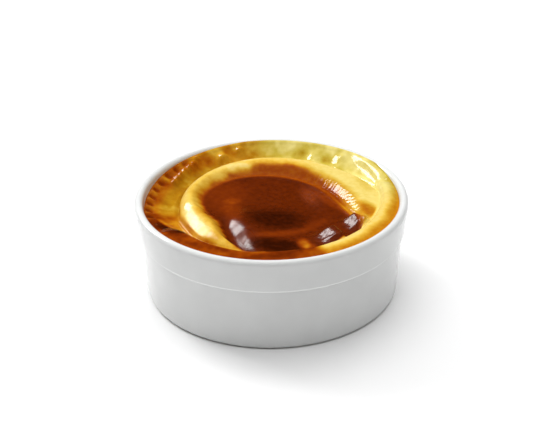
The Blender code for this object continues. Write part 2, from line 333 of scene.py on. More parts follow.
# %% Dish outline
LIP_STEPS, CORNER_STEPS, EDGE_STEPS = 16, 10, 5
WALL_STEPS = 6


def arc(centre_x, centre_z, radius, start, end, steps):
    """Points on a circular arc, from one angle in degrees to another."""
    angles = (math.radians(start + (end - start) * i / steps) for i in range(steps + 1))
    return [(centre_x + radius * math.cos(a), centre_z + radius * math.sin(a)) for a in angles]


def straight(start, end, steps):
    """Points between two ends, without the ends themselves."""
    shares = (i / steps for i in range(1, steps))
    return [tuple(a + (b - a) * t for a, b in zip(start, end)) for t in shares]


def dish_outline():
    """From the middle of the inside floor, over the lip, to the middle of the base."""
    lip_centre = rim_radius - LIP_RADIUS
    lip_height = dish_height - LIP_RADIUS
    step_height = dish_height - COLLAR_HEIGHT
    corner_centre = INNER_FLOOR_RADIUS - INNER_CORNER
    base_centre = BODY_FOOT_RADIUS - BASE_ROUNDING
    floor_corner = arc(corner_centre, FLOOR_HEIGHT + INNER_CORNER, INNER_CORNER, -90, 0,
                       CORNER_STEPS)
    lip = arc(lip_centre, lip_height, LIP_RADIUS, 180, 0, LIP_STEPS)
    collar_edge = arc(COLLAR_FOOT_RADIUS - COLLAR_EDGE, step_height + COLLAR_EDGE,
                      COLLAR_EDGE, 0, -90, EDGE_STEPS)
    step_corner = arc(BODY_TOP_RADIUS + STEP_FILLET, step_height - STEP_FILLET,
                      STEP_FILLET, 90, 180, EDGE_STEPS)
    base = arc(base_centre, BASE_ROUNDING, BASE_ROUNDING, 0, -90, CORNER_STEPS)
    foot = arc(FOOT_INNER_RADIUS + FOOT_EDGE, FOOT_EDGE, FOOT_EDGE, -90, -180, EDGE_STEPS)
    recess = arc(FOOT_INNER_RADIUS - FOOT_EDGE, FOOT_RECESS - FOOT_EDGE, FOOT_EDGE, 0, 90,
                 EDGE_STEPS)
    points = [(0.0, FLOOR_HEIGHT)] + straight((0.0, FLOOR_HEIGHT), floor_corner[0], WALL_STEPS)
    points += floor_corner + straight(floor_corner[-1], lip[0], WALL_STEPS) + lip
    points += straight(lip[-1], collar_edge[0], WALL_STEPS) + collar_edge
    points += step_corner + straight(step_corner[-1], base[0], WALL_STEPS) + base
    points += straight(base[-1], foot[0], WALL_STEPS) + foot + recess
    points += straight(recess[-1], (0.0, FOOT_RECESS), WALL_STEPS) + [(0.0, FOOT_RECESS)]
    return points


outline = dish_outline()
print(f"dish outline: {len(outline)} points")

# %% [markdown]
# ## Helpers for nodes
# Trees of nodes are easier to read in a script when making a node and setting it are
# one step. One helper makes a node with its settings, one does sums on numbers or
# sockets, and one finds a socket among several with the same name.

# %% Helpers for nodes
def add_node(tree, kind, settings=None, values=None):
    """A node of one kind, with its settings and the values of some inputs."""
    node = tree.nodes.new(kind)
    for name, value in (settings or {}).items():
        setattr(node, name, value)
    for name, value in (values or {}).items():
        node.inputs[name].default_value = value
    return node


def math_node(tree, operation, *operands):
    """A sum on numbers or sockets; gives the socket that holds its result."""
    node = add_node(tree, "ShaderNodeMath", {"operation": operation})
    for place, operand in zip(node.inputs, operands):
        if isinstance(operand, float):
            place.default_value = operand
        else:
            tree.links.new(operand, place)
    return node.outputs[0]


def socket(node, name, output=False):
    """A node's socket by its name, out of those that its settings switch on."""
    group = node.outputs if output else node.inputs
    return next(item for item in group if item.name == name and item.enabled)


print("helpers for nodes: add_node, math_node and socket")

# %% [markdown]
# ## Dish: turning it
# A round dish is thrown or cast about one axis. The same can be done with a Screw
# modifier, by spinning edges in mesh code, or with Geometry Nodes. Nodes were picked:
# the outline goes in as a plain polyline and the tree lays it at every angle of a
# grid, so the number of sides stays an open input.

# %% Lathe tree
DISH_SIDES = 288
FEWEST_SIDES, USUAL_SIDES = 3, 64
WELD_DISTANCE = 0.00001  # metres; closes the seam and the two poles


def lathe_tree(surface):
    """Spins the incoming polyline, which lies in the XZ plane, round the Z axis."""
    tree = bpy.data.node_groups.new("lathe", "GeometryNodeTree")
    tree.is_modifier = True
    face = tree.interface
    face.new_socket("Outline", in_out="INPUT", socket_type="NodeSocketGeometry")
    sides = face.new_socket("Sides", in_out="INPUT", socket_type="NodeSocketInt")
    sides.default_value, sides.min_value = USUAL_SIDES, FEWEST_SIDES
    face.new_socket("Turned", in_out="OUTPUT", socket_type="NodeSocketGeometry")
    given, result = add_node(tree, "NodeGroupInput"), add_node(tree, "NodeGroupOutput")
    link = tree.links.new

    # A grid with a row for each point of the outline and a column for each side.
    count = add_node(tree, "GeometryNodeAttributeDomainSize")
    link(given.outputs["Outline"], count.inputs["Geometry"])
    points = count.outputs["Point Count"]
    grid = add_node(tree, "GeometryNodeMeshGrid")
    link(math_node(tree, "ADD", given.outputs["Sides"], 1.0), grid.inputs["Vertices X"])
    link(points, grid.inputs["Vertices Y"])

    # Every point of the grid works out its row, its column and so its angle.
    index = add_node(tree, "GeometryNodeInputIndex").outputs[0]
    row = math_node(tree, "MODULO", index, points)
    column = math_node(tree, "FLOOR", math_node(tree, "DIVIDE", index, points))
    turn = math_node(tree, "DIVIDE", column, given.outputs["Sides"])
    angle = math_node(tree, "MULTIPLY", turn, 2.0 * math.pi)

    # It moves to the outline's point for that row, spun by that angle.
    place = add_node(tree, "GeometryNodeInputPosition")
    sample = add_node(tree, "GeometryNodeSampleIndex", {"data_type": "FLOAT_VECTOR"})
    link(given.outputs["Outline"], sample.inputs["Geometry"])
    link(place.outputs[0], socket(sample, "Value"))
    link(row, sample.inputs["Index"])
    spin = add_node(tree, "ShaderNodeVectorRotate", {"rotation_type": "Z_AXIS"})
    link(socket(sample, "Value", output=True), spin.inputs["Vector"])
    link(angle, spin.inputs["Angle"])
    bend = add_node(tree, "GeometryNodeSetPosition")
    link(spin.outputs[0], bend.inputs["Position"])

    weld = add_node(tree, "GeometryNodeMergeByDistance", values={"Distance": WELD_DISTANCE})
    smooth = add_node(tree, "GeometryNodeSetShadeSmooth")
    real = add_node(tree, "GeometryNodeRealizeInstances")
    finish = add_node(tree, "GeometryNodeSetMaterial", values={"Material": surface})
    made = grid.outputs["Mesh"]
    for step in (bend, weld, smooth, real, finish):
        link(made, step.inputs["Geometry"])
        made = step.outputs[0]
    link(made, result.inputs["Turned"])
    return tree


print(f"lathe: an outline of {len(outline)} points, laid at {DISH_SIDES} angles")

# %% [markdown]
# ## Dish: from nodes to a mesh
# The tree could stay on the dish as a live modifier. It is applied instead, so that
# the dish is a plain mesh that any other program can read. The thin guide that
# carried the outline is taken away afterwards.

# %% Turned piece
def link_object(name, mesh):
    piece = bpy.data.objects.new(name, mesh)
    bpy.context.scene.collection.objects.link(piece)
    return piece


def set_input(modifier, name, value):
    """Sets a modifier's input by its socket's identifier."""
    for item in modifier.node_group.interface.items_tree:
        if item.name == name and item.in_out == "INPUT":
            modifier[item.identifier] = value


def bake_nodes(guide, name):
    """Turns a node-made object into a plain mesh object of its own."""
    bpy.context.view_layer.update()
    evaluated = guide.evaluated_get(bpy.context.evaluated_depsgraph_get())
    mesh = bpy.data.meshes.new_from_object(evaluated)
    mesh.name = name
    bpy.data.objects.remove(guide)
    return link_object(name, mesh)


def turned_piece(name, points, sides, surface):
    """Lays an outline on a guide, spins it with the lathe tree, and keeps the mesh."""
    wire = bpy.data.meshes.new(name + "_outline")
    wire.from_pydata([(r * MM, 0.0, z * MM) for r, z in points],
                     [(i, i + 1) for i in range(len(points) - 1)], [])
    guide = link_object(name + "_outline", wire)
    modifier = guide.modifiers.new("lathe", "NODES")
    modifier.node_group = lathe_tree(surface)
    set_input(modifier, "Sides", sides)
    return bake_nodes(guide, name)


print("the dish is turned further down, once its glaze is made")

# %% [markdown]
# ## Pudding: the skin
# Milk skin puffs up in the oven, browns where it stands highest and hottest, then
# falls as it cools: a flat dark pool in the middle, a pale puffed ring round it, a
# trench between ring and wall, and a roll of skin pushed up along the front and
# right. It could be sculpted by hand, simulated as cloth, or written as a height
# for every point of a round grid. Heights were picked: each fold keeps its own name
# and its own size, and can be moved without touching the others.

# %% Fold lines
# Closed lines round the pudding, seen from above; lengths in millimetres, directions
# in degrees anticlockwise from the right. A lobe is (count, amount, towards).
CUSHION_EDGE = {"centre": (3.8, -0.5), "mean": 44.8,
                "lobes": ((2, 1.2, 132), (3, 0.7, 7), (4, 0.4, 0))}
POOL_EDGE = {"centre": (3.2, -8.6), "mean": 33.5,
             "lobes": ((2, 5.0, 119), (3, 0.9, 0), (4, 1.6, 62), (5, 0.6, 30))}
FOLD_FOOT = {"centre": (-0.1, 6.7), "mean": 48.2, "lobes": ((2, 1.4, 108),)}
WALL_LINE = {"mean": -2.4, "lobes": ((1, 2.6, 59), (2, 0.8, 86), (4, 0.4, 54))}
WALL_LINE_TOP = -0.25  # the skin never stands above this; heights are from the lip's top
WALL_REACH = 0.3  # how far the food goes into the china


def wall_line(degrees):
    """Height at which the skin sticks to the wall."""
    return np.minimum(swell(WALL_LINE, degrees), WALL_LINE_TOP)


def wall_radius(degrees):
    """Where the skin ends: just inside the dish's wall, so that no gap shows."""
    return inner_wall_radius(dish_height + wall_line(degrees)) + WALL_REACH


across_pool, across_cushion = 2 * POOL_EDGE["mean"], 2 * CUSHION_EDGE["mean"]
print(f"pool {across_pool:.0f} mm across in a cushion of {across_cushion:.0f} mm")

# %% [markdown]
# ## Pudding: the hanging band
# Three big shapes make the skin, and each is its own height function. The first is the
# band that stuck to the hot wall while the middle sank, so that it hangs down into a
# trench. It falls steeply at the wall and lies flat at the bottom.

# %% Hanging band
TRENCH_FLOOR = {"mean": -6.0, "lobes": ((1, 1.6, 345),)}
TRENCH_OFFSET = 2.0  # trench line outside the cushion's edge
EARLY_FALL = 0.4  # share of the band's fall that starts steeply at the wall
BEYOND_TRENCH = 4.0  # how fast the band drops away under the cushion


def hanging_band(x, y):
    """The skin that hangs from the wall down into the trench."""
    around = direction(x, y)
    radius = np.hypot(x, y)
    trench_radius = radius_on(CUSHION_EDGE, around) + TRENCH_OFFSET
    wall = wall_radius(around)
    share = np.maximum((wall - radius) / (wall - trench_radius), 0.0)
    top = wall_line(around)
    steep = np.sin(np.minimum(share, 1.0) * math.pi / 2.0)
    fall = EARLY_FALL * steep + (1.0 - EARLY_FALL) * ramp(share, 0.0, 1.0)
    height = top + (swell(TRENCH_FLOOR, around) - top) * fall
    return height - np.maximum(share - 1.0, 0.0) * TRENCH_OFFSET * BEYOND_TRENCH


deepest = min(swell(TRENCH_FLOOR, np.arange(0.0, 360.0, 1.0)))
print(f"the trench lies {-deepest:.1f} mm below the lip at its deepest")

# %% [markdown]
# ## Pudding: the cushion and its pool
# The second shape is the puffed middle. It stands up from the trench like the side of
# a cushion, rolls over a crest, and slopes down to a pool that is nearly level. It
# could be a scaled half ball, but the real one has a round side at the back and a
# straight, flat one at the front left. So each width may change with direction.

# %% Cushion and pool
CUSHION_CREST = {"mean": -2.6, "lobes": ((1, 0.9, 135),)}
POOL_BORDER = {"mean": -5.6, "lobes": ((1, 0.8, 170),)}
CUSHION_FLANK = {"mean": 4.9, "lobes": ((1, 2.3, 198),)}
SLOPE_TOP = {"mean": 0.305, "lobes": ((1, 0.20, 20),)}
SLOPE_FOOT = {"mean": 0.975, "lobes": ((1, 0.08, 205),)}
STRAIGHT_EDGE = ((-42.0, -4.0), (-27.8, -32.8))  # (x, y) line that cuts off the cushion
STRAIGHT_CORNER = 1.5  # rounding where that line meets the edge
FLAT_FLANK = (187, 224, 10)  # where the cushion's flank is straight, not round
FLAT_WIDTH, FLAT_LIFT = 9.5, 1.8  # that flank's width, and how far its foot is lifted
CREST_AT, CREST_AT_FLAT = 0.5, 0.3  # where the crest begins, in widths of the flank
FOOT_DEPTH, SKIRT_SLOPE = 0.6, 2.0  # the cushion's foot, below the trench floor
BORDER_REACH = 25.0  # the pool is level within this distance of the middle
POOL_DIP, POOL_DIP_REACH = 0.9, 9.0
POOL_SEAM, POOL_SEAM_WIDTH = 0.35, 0.9  # a fine ridge round part of the pool
SEAM_ARC = (-20, 130, 30)


def cushion_inside(x, y):
    """How far inside the cushion's edge, which runs straight at the front left."""
    (x0, y0), (x1, y1) = STRAIGHT_EDGE
    length = math.hypot(x1 - x0, y1 - y0)
    from_straight = ((x1 - x0) * (y - y0) - (y1 - y0) * (x - x0)) / length
    return -higher_of(-inside(CUSHION_EDGE, x, y), -from_straight, STRAIGHT_CORNER)


def cushion(x, y):
    """The raised middle: a puffed ring that slopes down into the pool."""
    around = direction(x, y)
    from_edge = cushion_inside(x, y)
    from_pool = -inside(POOL_EDGE, x, y)
    flank = swell(CUSHION_FLANK, around)
    flat = between(around, *FLAT_FLANK)
    foot = swell(TRENCH_FLOOR, around) - FOOT_DEPTH + FLAT_LIFT * flat
    share = np.clip(from_edge / flank, 0.0, 1.0)
    share_flat = np.clip(from_edge / FLAT_WIDTH, 0.0, 1.0)
    rise = round_over(share) * (1.0 - flat) + (1.0 - (1.0 - share_flat) ** 2) * flat
    across = np.maximum(from_edge - (CREST_AT + CREST_AT_FLAT * flat) * flank, 0.0)
    width = np.maximum(across + np.maximum(from_pool, 0.0), 1.0)
    inward = np.where(from_pool < 0.0, 1.0, across / width)
    down = ramp(inward, swell(SLOPE_TOP, around), swell(SLOPE_FOOT, around))
    middle = ramp(np.hypot(x, y), 0.0, BORDER_REACH)
    border = POOL_BORDER["mean"] + (swell(POOL_BORDER, around) - POOL_BORDER["mean"]) * middle
    top = swell(CUSHION_CREST, around) * (1.0 - down) + border * down
    top = top - POOL_DIP * (1.0 - np.exp(np.minimum(from_pool, 0.0) / POOL_DIP_REACH))
    seam = POOL_SEAM * between(around, *SEAM_ARC)
    top = top + seam * np.exp(-(from_pool / POOL_SEAM_WIDTH) ** 2)
    height = foot + (top - foot) * rise
    return np.where(from_edge > 0.0, height, foot + from_edge * SKIRT_SLOPE)


crest = max(swell(CUSHION_CREST, np.arange(0.0, 360.0, 1.0)))
print(f"the cushion's crest stands {-crest:.1f} mm below the lip at its highest")

# %% [markdown]
# ## Pudding: the outer fold
# The third shape is the roll of skin that was pushed up along the front and right. The
# skin is whichever of the three lies higher, with a soft crease where two of them
# meet. Adding them up instead would blur the creases, and real skin lies in folds on
# top of itself.

# %% Outer fold
FOLD_CREST = {"mean": -2.6, "lobes": ((1, 1.7, 20),)}
FOLD_FLANK = {"mean": 3.4, "lobes": ((1, 0.4, 0),)}
FOLD_ARC = (200, 384, 26)  # directions that the outer fold spans
FOLD_LEAN = 0.45  # where, across the fold, it starts to lean to the wall line
TONGUE, TONGUE_ARC = 1.8, (206, 224, 20)  # its foot leans inwards here
SOFT_START, SOFT_START_ARC = 3.0, (185, 222, 24)  # its inner side is wider here
SKIN_BOTTOM = -10.0  # depth from which the outer fold rises
CREASE = 0.5  # softness of the crease where two folds meet


def outer_fold(x, y):
    """The fold that lies along the front and right wall."""
    around = direction(x, y)
    tongue = TONGUE * between(around, *TONGUE_ARC)
    from_foot = tongue - inside(FOLD_FOOT, x, y)
    foot_radius = radius_on(FOLD_FOOT, around) - tongue
    reach = wall_radius(around) - foot_radius
    lean = ramp((np.hypot(x, y) - foot_radius) / np.maximum(reach, 1.0), FOLD_LEAN, 1.0)
    crest = swell(FOLD_CREST, around)
    top = crest + (np.minimum(wall_line(around), crest) - crest) * lean
    flank = swell(FOLD_FLANK, around) + SOFT_START * between(around, *SOFT_START_ARC)
    height = SKIN_BOTTOM + (top - SKIN_BOTTOM) * round_over(from_foot / flank)
    return SKIN_BOTTOM + (height - SKIN_BOTTOM) * between(around, *FOLD_ARC)


print(f"the outer fold spans {FOLD_ARC[1] - FOLD_ARC[0]} degrees")

# %% [markdown]
# ## Pudding: the small folds
# Skin that has puffed and sunk keeps small ridges and hollows. They can be drawn with
# a brush, or be written as short lines with a height and a width on each side. Lines
# were picked: they can be moved like pieces of string. Where a ridge turns its flank
# to the window, it catches the light, so their slopes matter more than their heights.
# The ridges in the pool are laid down first, so that the outer fold covers their
# ends.

# %% Small folds
# Each is a soft ridge along a line through a few (direction, radius) points: its rise,
# and its widths to the left and to the right, looking along the line.
SMALL_FOLDS = {
    "terrace": (((43, 55.2), (32, 54.0), (19, 52.4)), 1.4, 3.6, 1.7),
    "back fold": (((67, 52.0), (64, 43.0)), 1.1, 3.0, 2.8),
    "side fold": (((53, 53.5), (48, 45.0)), 0.9, 3.0, 2.6),
    "pool mound": (((205, 10.0), (246, 22.5), (264, 41.0)), 1.5, 10.0, 4.6),
    "pool groove": (((213, 23.5), (235, 29.5), (255, 41.5)), -2.4, 4.2, 3.0),
    "strip edge": (((197, 47.5), (206, 44.4), (216, 43.0), (228, 44.2), (250, 44.8)),
                   0.4, 1.0, 3.0),
}
# Ridges at the right of the pool that run in under the outer fold.
POOL_RIDGES = {
    "front ridge": (((317.5, 33.0), (311.5, 45.0)), 4.6, 2.8, 6.4),
    "side ridge": (((342, 36.5), (331, 44.5)), 3.6, 2.6, 4.6),
}
TAPER = 0.25  # share of the line over which a ridge fades at each end
LINE_POINTS = 80


def from_line(x, y, through):
    """Distance to the left of a line that bends round the dish, and the share passed."""
    shares = np.linspace(0.0, len(through) - 1.0, LINE_POINTS)
    turns, radii = zip(*through)
    angle = np.radians(np.interp(shares, range(len(through)), turns))
    radius = np.interp(shares, range(len(through)), radii)
    line = np.stack([radius * np.cos(angle), radius * np.sin(angle)], 1)
    tangent = np.gradient(line, axis=0)
    step = np.linalg.norm(tangent, axis=1)
    dx, dy = x[:, None] - line[:, 0], y[:, None] - line[:, 1]
    nearest = np.argmin(dx * dx + dy * dy, axis=1)
    dx, dy = x - line[nearest, 0], y - line[nearest, 1]
    tx, ty = (tangent[nearest] / step[nearest, None]).T
    passed = (nearest + (dx * tx + dy * ty) / step[nearest]) / (LINE_POINTS - 1)
    return tx * dy - ty * dx, passed


def small_fold(x, y, through, rise, left, right):
    """A ridge, or with a negative rise a groove, that tapers at both ends."""
    across, passed = from_line(x, y, through)
    width = np.where(across > 0.0, left, right)
    taper = ramp(passed, -TAPER, TAPER) * ramp(1.0 - passed, -TAPER, TAPER)
    return rise * taper * np.exp(-(across / width) ** 2)


def small_folds(x, y, folds):
    return sum(small_fold(x, y, *fold) for fold in folds.values())


print(f"{len(SMALL_FOLDS) + len(POOL_RIDGES)} small folds and ridges")

# %% [markdown]
# ## Pudding: blisters and pleats
# The finest relief begins with blisters, where steam lifted the skin, and pleats, where
# it hangs from the left wall. A bump texture could draw them without moving a vertex.
# Real relief was picked for everything wider than half a millimetre, because it also
# bends the outline of the highlights; only finer grain is left to the material.

# %% Blisters and pleats
# Small round blisters: (direction, radius from the axis, height, size).
BLISTERS = ((133, 51.8, 2.1, 1.5), (136.8, 51.3, 2.3, 1.6), (140.6, 50.7, 2.2, 1.55),
            (144.4, 50.2, 2.35, 1.65), (148.2, 49.8, 2.25, 1.6), (152, 49.4, 2.1, 1.5),
            (130, 54.0, 1.3, 1.4), (116, 50.2, 3.0, 2.5), (106, 52.6, 2.2, 1.7),
            (51, 53.4, 0.3, 1.2))
SCALLOP_DEPTH, SCALLOP_COUNT, SCALLOP_ARC = 0.6, 54, (138, 206, 24)
SCALLOP_START, SCALLOP_END = (0.2, 1.8), (2.8, 5.4)  # distances from the wall
SCALLOP_WANDER = ((1.6, 9.0, 4),)  # degrees, size and seed


def blisters(x, y):
    """Round blisters where steam lifted the skin."""
    height = np.zeros_like(x)
    for degrees, radius, rise, size in BLISTERS:
        angle = math.radians(degrees)
        away = (x - radius * math.cos(angle)) ** 2 + (y - radius * math.sin(angle)) ** 2
        height = height + rise * np.exp(-away / size ** 2)
    return height


def scallops(x, y):
    """Radial pleats where the skin hangs from the left wall."""
    around = direction(x, y)
    inward = wall_radius(around) - np.hypot(x, y)
    here = between(around, *SCALLOP_ARC) * ramp(inward, *SCALLOP_START)
    here = here * (1.0 - ramp(inward, *SCALLOP_END))
    phase = around + wander(x, y, SCALLOP_WANDER)
    return SCALLOP_DEPTH * here * np.cos(np.radians(SCALLOP_COUNT * phase))


print(f"{len(BLISTERS)} blisters; a pleat every {360 / SCALLOP_COUNT:.1f} degrees")

# %% [markdown]
# ## Pudding: rays and wrinkles
# On the slope at the right of the pool the skin was pulled tight, so thin rays run up
# it and a few lines run along it. Other places dried into wrinkles. Both could be one
# noise over the whole skin. They are waves and patches with places of their own,
# because wrinkles come only where the skin shrank, and the pool has to stay smooth.

# %% Rays and wrinkles
RAY_DEPTH, RAY_PERIOD, RAY_ARC, RAY_RADIUS = 0.035, 2.0, (-18, 62, 20), 33.0
RAY_START, RAY_END = (3.0, 5.0), (9.5, 12.5)  # distances from the pool
RAY_WANDER = ((1.3, 3.5, 9),)
LINE_DEPTH, LINE_PERIOD, LINE_ARC = 0.06, 1.7, (-20, 60, 20)
LINE_MIDDLE, LINE_FADE = 1.8, (1.2, 2.6)
PATCH_EDGE = (0.35, 1.25)  # shares of its size over which a patch fades out

# Wrinkled places: centre, half sizes, turn in degrees, and how deep the wrinkles are.
CRINKLE_SIZE, CRINKLE_SEED = 1.5, 31
CRINKLES = {
    "mound": ((-8, -34), (4, 8), 21, 0.07),
    "front right": ((24, -30), (7, 9), -20, 0.15),
    "right": ((33, -17), (4, 8), 30, 0.15),
    "slope": ((29, 15), (4, 12), 32, 0.06),
    "left flank": ((-33.5, -16), (3.5, 15), 26, 0.045),
    "pool right": ((17.5, 10), (3.5, 8), 15, 0.28),
}


def patch(x, y, centre, half_sizes, turn, amount):
    """A soft-edged ellipse."""
    c, s = math.cos(math.radians(turn)), math.sin(math.radians(turn))
    dx, dy = x - centre[0], y - centre[1]
    u, v = (c * dx + s * dy) / half_sizes[0], (c * dy - s * dx) / half_sizes[1]
    return amount * (1.0 - ramp(np.hypot(u, v), *PATCH_EDGE))


def patches(x, y, places):
    return sum(patch(x, y, *settings) for settings in places.values())


def rays(x, y):
    """Fine radial wrinkles on the slope at the right of the pool, and lines along it."""
    around = direction(x, y)
    from_pool = -inside(POOL_EDGE, x, y)
    here = between(around, *RAY_ARC) * ramp(from_pool, *RAY_START)
    here = here * (1.0 - ramp(from_pool, *RAY_END))
    length = np.radians(around) * RAY_RADIUS + wander(x, y, RAY_WANDER)
    lines = np.cos(2.0 * math.pi * from_pool / LINE_PERIOD) * between(around, *LINE_ARC)
    lines = lines * (1.0 - ramp(np.abs(from_pool - LINE_MIDDLE), *LINE_FADE))
    spread = RAY_DEPTH * here * np.cos(2.0 * math.pi * length / RAY_PERIOD)
    return spread + LINE_DEPTH * lines


def crinkles(x, y):
    """Places where the skin has dried into fine wrinkles."""
    return patches(x, y, CRINKLES) * uneven(x, y, CRINKLE_SIZE, CRINKLE_SEED)


print(f"{len(CRINKLES)} wrinkled places; rays {RAY_PERIOD} mm apart")

# %% [markdown]
# ## Pudding: the whole skin
# Now the parts are laid over one another in the order in which they lie on the real
# skin. Faint ripples go over everything, and close to the china the skin runs in level
# to the line where it sticks to the wall. One function gives the height of any point,
# so it does not matter yet which mesh will carry it.

# %% Whole skin
RIPPLES = ((0.05, 7.0, 1), (0.03, 2.6, 2))
EDGE_BLEND = 2.5  # from this distance the skin runs in level to the wall line


def skin_height(x, y):
    """Height of the baked skin, in millimetres from the top of the lip."""
    height = higher_of(hanging_band(x, y), cushion(x, y), CREASE)
    height = height + small_folds(x, y, POOL_RIDGES)
    height = higher_of(height, outer_fold(x, y), CREASE)
    height = height + small_folds(x, y, SMALL_FOLDS)
    height = height + blisters(x, y) + scallops(x, y) + rays(x, y) + crinkles(x, y)
    height = height + wander(x, y, RIPPLES)
    edge = ramp(wall_radius(direction(x, y)) - np.hypot(x, y), 0.0, EDGE_BLEND)
    wall = wall_line(direction(x, y))
    return np.minimum(wall + (height - wall) * edge, WALL_LINE_TOP)


middle_height = skin_height(np.zeros(1), np.zeros(1))[0]
print(f"the pool's middle lies {-middle_height:.1f} mm below the lip")

# %% [markdown]
# ## Pudding: where it has browned
# Milk skin browns where it is thin, sweet and close to the heat. The pool is darkest,
# and its ragged edge bleeds up the pale slope in fingers. A picture could be painted
# over it, but that would have to be unwrapped. Rules were picked: they give a value
# for every point, the mesh stores it, and the material stays short.

# %% Browning of the cushion
BROWN_EDGE = {"centre": (3.8, -5.4), "mean": 35.8,
              "lobes": ((2, 5.2, 114), (3, 0.4, 2), (4, 1.55, 69), (5, 0.9, 29))}
# How brown the cushion is, what a halo, the scorched edge and the pool itself add to
# that, and over which distances inside their lines each of them sets in.
PALE, HALO, SCORCH, POOLED = 0.08, 0.16, 0.36, 0.26
HALO_EDGE, SCORCH_EDGE, POOLED_EDGE = (-6.5, -1.5), (-2.5, 1.2), (-1.5, 1.0)
RAGGED = ((0.8, 7.0, 22), (0.5, 3.0, 23))  # amount, size and seed
FINGERS, FINGER_STRETCH = ((0.7, 2.2, 21),), 0.12
SPREAD = 30.0  # radius at which a direction is turned into a length


def cushion_browning(x, y):
    """Pale skin with a ragged brown edge, which bleeds up from the pool in fingers."""
    around = direction(x, y)
    leftwards = 1.0 + np.cos(np.radians(around - 180.0))
    spread = np.radians(around) * SPREAD
    fingers = wander(spread, np.hypot(x, y) * FINGER_STRETCH, FINGERS) * leftwards
    edge = inside(BROWN_EDGE, x, y) + (wander(x, y, RAGGED) + fingers)
    brown = PALE + HALO * ramp(edge, *HALO_EDGE) + SCORCH * ramp(edge, *SCORCH_EDGE)
    return brown + POOLED * ramp(inside(POOL_EDGE, x, y), *POOLED_EDGE)


print(f"browning of the pool: {PALE + HALO + SCORCH + POOLED:.2f} of nearly burnt")

# %% [markdown]
# ## Pudding: the browned band
# The band by the wall is browner to the left, where it hangs closest to the heat, and
# its pleats are dark in the hollows and pale along the ridges. Painting each pleat
# would mean doing it again after every change. The same function that raises the
# pleats also colours them, so the two can never drift apart.

# %% Browning of the band
BAND_BROWNING = {"mean": 0.23, "lobes": ((1, 0.22, 165),)}
WALL_BROWNING = {"mean": -0.03, "lobes": ((1, 0.03, 180),)}
BY_WALL, ORANGE_EDGE, ORANGE_ARC = (1.5, 6.5), (4.0, 9.5), (148, 198, 24)
ORANGE, PLEAT_PALE, PLEAT_DARK, PLEAT_HOLLOW = 0.07, 0.07, 0.11, (0.1, 0.9)
STREAKS = ((0.08, 4.5, 25), (0.05, 2.0, 27))
WALL_STREAKS, STREAKS_ALONG, STREAKS_ACROSS = ((0.07, 2.5, 24),), 1.7, 0.35
BLOTCHES, BLOTCH_ARC = ((0.10, 5.0, 30),), (98, 148, 20)


def band_browning(x, y):
    """Browner to the left, orange along the pleats and dark between them."""
    around = direction(x, y)
    radius = np.hypot(x, y)
    from_wall = wall_radius(around) - radius
    by_wall = 1.0 - ramp(from_wall, *BY_WALL)
    band = swell(BAND_BROWNING, around) + swell(WALL_BROWNING, around) * by_wall
    along = np.radians(around) * SPREAD * STREAKS_ALONG
    streaks = wander(along, radius * STREAKS_ACROSS, WALL_STREAKS) * by_wall
    orange = between(around, *ORANGE_ARC) * (1.0 - ramp(from_wall, *ORANGE_EDGE))
    pleat = scallops(x, y) / SCALLOP_DEPTH
    band = band + streaks + wander(x, y, STREAKS) + ORANGE * orange
    band = band - PLEAT_PALE * pleat + PLEAT_DARK * ramp(-pleat, *PLEAT_HOLLOW)
    return band + between(around, *BLOTCH_ARC) * wander(x, y, BLOTCHES)


at_right, at_left = swell(BAND_BROWNING, np.array([0.0, 180.0]))
print(f"browning of the band: {at_right:.2f} at the right, {at_left:.2f} at the left")

# %% [markdown]
# ## Pudding: the dark strip
# Along the front left the skin is stretched thin and dark in flat facets, and a pale
# ridge runs along its inner edge. This could be a row of patches, but a row of
# ellipses shows its joints. One line with a left and a right side gives the strip, its
# facets and its ridge together.

# %% Dark strip
STRIP_BROWN, STRIP_ARC, STRIP_EDGE = 0.71, (193, 297, 9), (0.2, 1.4)
STRIP_RIDGE = ((192, 49.8), (199, 47.0), (206, 44.2), (216, 43.4), (228, 43.9), (248, 44.6),
               (302, 43.0))
RIDGE_PALE, RIDGE_AT, RIDGE_WIDTH = 0.12, 0.2, 0.9
RIDGE_START, RIDGE_END = (-0.02, 0.06), (0.6, 0.8)  # shares of the line
FACETS, FACET_STRETCH, FLECKS = ((0.13, 3.4, 28),), 0.55, ((0.05, 2.2, 29),)


def with_strip(brown, in_band, x, y):
    """Lays the dark strip and its pale ridge over the browning so far."""
    around = direction(x, y)
    across, passed = from_line(x, y, STRIP_RIDGE)
    strip = between(around, *STRIP_ARC) * ramp(-across, *STRIP_EDGE)
    along = np.radians(around) * SPREAD * FACET_STRETCH
    facets = wander(along, across, FACETS) + wander(x, y, FLECKS)
    brown = brown * (1.0 - strip) + (STRIP_BROWN + facets) * strip
    ridge = np.exp(-((across - RIDGE_AT) / RIDGE_WIDTH) ** 2)
    ridge = ridge * ramp(passed, *RIDGE_START) * (1.0 - ramp(passed, *RIDGE_END))
    return brown - RIDGE_PALE * ridge * in_band


print(f"the strip spans {STRIP_ARC[1] - STRIP_ARC[0]} degrees of the front left")
